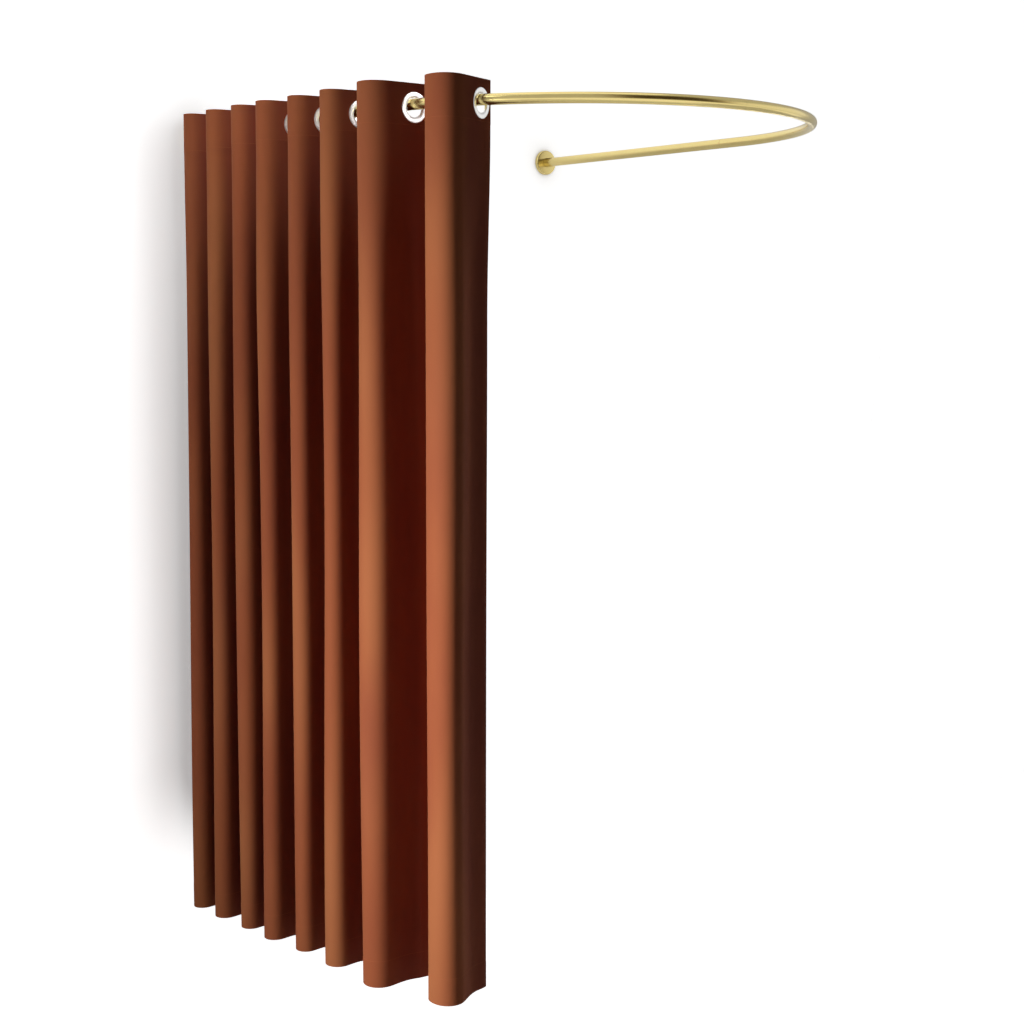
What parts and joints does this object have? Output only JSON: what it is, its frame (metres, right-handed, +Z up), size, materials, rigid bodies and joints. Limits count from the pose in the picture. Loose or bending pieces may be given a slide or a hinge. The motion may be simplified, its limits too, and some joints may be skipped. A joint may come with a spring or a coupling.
{
  "type": "fitting room rail with curtain",
  "caption": "Wall-fixed U-shaped tube rail with a full-length eyelet curtain drawn back on one arm, for a shop fitting room",
  "frame": {"origin": "centre of the right wall plate's back, on the wall and on the rail's centre line", "axes": "+X to the right along the wall, +Y into the wall, +Z up"},
  "size_m": [1.2854, 1.3725, 2.01],
  "materials": {
    "rail_brass": "polished",
    "steel_fittings": "satin",
    "eyelet_metal": "polished",
    "curtain_cloth": "matt velvet-like weave"
  },
  "bodies": {
    "rail": {"left_wall_plate": "steel_fittings", "left_plate_grub_screw": "steel_fittings", "left_wall_cover": "rail_brass", "left_arm_tube": "rail_brass", "left_bend_tube": "rail_brass", "right_wall_plate": "steel_fittings", "right_plate_grub_screw": "steel_fittings", "right_wall_cover": "rail_brass", "right_arm_tube": "rail_brass", "right_bend_tube": "rail_brass", "left_joint_sleeve": "steel_fittings", "left_joint_screw_1": "steel_fittings", "left_joint_screw_2": "steel_fittings", "front_joint_sleeve": "steel_fittings", "front_joint_screw_1": "steel_fittings", "front_joint_screw_2": "steel_fittings", "right_joint_sleeve": "steel_fittings", "right_joint_screw_1": "steel_fittings", "right_joint_screw_2": "steel_fittings"},
    "fold_1": {"curtain_fold_1": "curtain_cloth", "curtain_inner_fold_1": "curtain_cloth", "eyelet_1": "eyelet_metal", "eyelet_2": "eyelet_metal"},
    "fold_2": {"curtain_fold_2": "curtain_cloth", "curtain_inner_fold_2": "curtain_cloth", "eyelet_3": "eyelet_metal", "eyelet_4": "eyelet_metal"},
    "fold_3": {"curtain_fold_3": "curtain_cloth", "curtain_inner_fold_3": "curtain_cloth", "eyelet_5": "eyelet_metal", "eyelet_6": "eyelet_metal"},
    "fold_4": {"curtain_fold_4": "curtain_cloth", "curtain_inner_fold_4": "curtain_cloth", "eyelet_7": "eyelet_metal", "eyelet_8": "eyelet_metal"},
    "fold_5": {"curtain_fold_5": "curtain_cloth", "curtain_inner_fold_5": "curtain_cloth", "eyelet_9": "eyelet_metal", "eyelet_10": "eyelet_metal"},
    "fold_6": {"curtain_fold_6": "curtain_cloth", "curtain_inner_fold_6": "curtain_cloth", "eyelet_11": "eyelet_metal", "eyelet_12": "eyelet_metal"},
    "fold_7": {"curtain_fold_7": "curtain_cloth", "curtain_inner_fold_7": "curtain_cloth", "eyelet_13": "eyelet_metal", "eyelet_14": "eyelet_metal"},
    "fold_8": {"curtain_fold_8": "curtain_cloth", "eyelet_15": "eyelet_metal", "eyelet_16": "eyelet_metal"}
  },
  "joints": [
    {"name": "fold_8_slide", "type": "slide", "parent": "rail", "child": "fold_8", "axis": [0, -1, 0], "range_m": [-0.008, 0.008]},
    {"name": "fold_7_slide", "type": "slide", "parent": "fold_8", "child": "fold_7", "axis": [0, -1, 0], "range_m": [-0.008, 0.008], "deforming": ["curtain_inner_fold_7"]},
    {"name": "fold_6_slide", "type": "slide", "parent": "fold_7", "child": "fold_6", "axis": [0, -1, 0], "range_m": [-0.008, 0.008], "deforming": ["curtain_inner_fold_6"]},
    {"name": "fold_5_slide", "type": "slide", "parent": "fold_6", "child": "fold_5", "axis": [0, -1, 0], "range_m": [-0.008, 0.008], "deforming": ["curtain_inner_fold_5"]},
    {"name": "fold_4_slide", "type": "slide", "parent": "fold_5", "child": "fold_4", "axis": [0, -1, 0], "range_m": [-0.008, 0.008], "deforming": ["curtain_inner_fold_4"]},
    {"name": "fold_3_slide", "type": "slide", "parent": "fold_4", "child": "fold_3", "axis": [0, -1, 0], "range_m": [-0.008, 0.008], "deforming": ["curtain_inner_fold_3"]},
    {"name": "fold_2_swing", "type": "hinge", "parent": "fold_3", "child": "fold_2", "pos_m": [-1.15, -0.785, 0], "axis": [0, 0, 1], "range_deg": [-4.8, 4.8], "deforming": ["curtain_inner_fold_2"]},
    {"name": "fold_1_swing", "type": "hinge", "parent": "fold_2", "child": "fold_1", "pos_m": [-0.575, -0.785, 0], "axis": [0, 0, 1], "range_deg": [-3, 10], "deforming": ["curtain_inner_fold_1"]}
  ],
  "couplings": [
    {"joint": "fold_7_slide", "follows": "fold_8_slide", "ratio": 1},
    {"joint": "fold_6_slide", "follows": "fold_8_slide", "ratio": 1},
    {"joint": "fold_5_slide", "follows": "fold_8_slide", "ratio": 1},
    {"joint": "fold_4_slide", "follows": "fold_8_slide", "ratio": 1},
    {"joint": "fold_3_slide", "follows": "fold_8_slide", "ratio": 1},
    {"joint": "fold_2_swing", "follows": "fold_8_slide", "rad_per_m": 10.435}
  ]
}
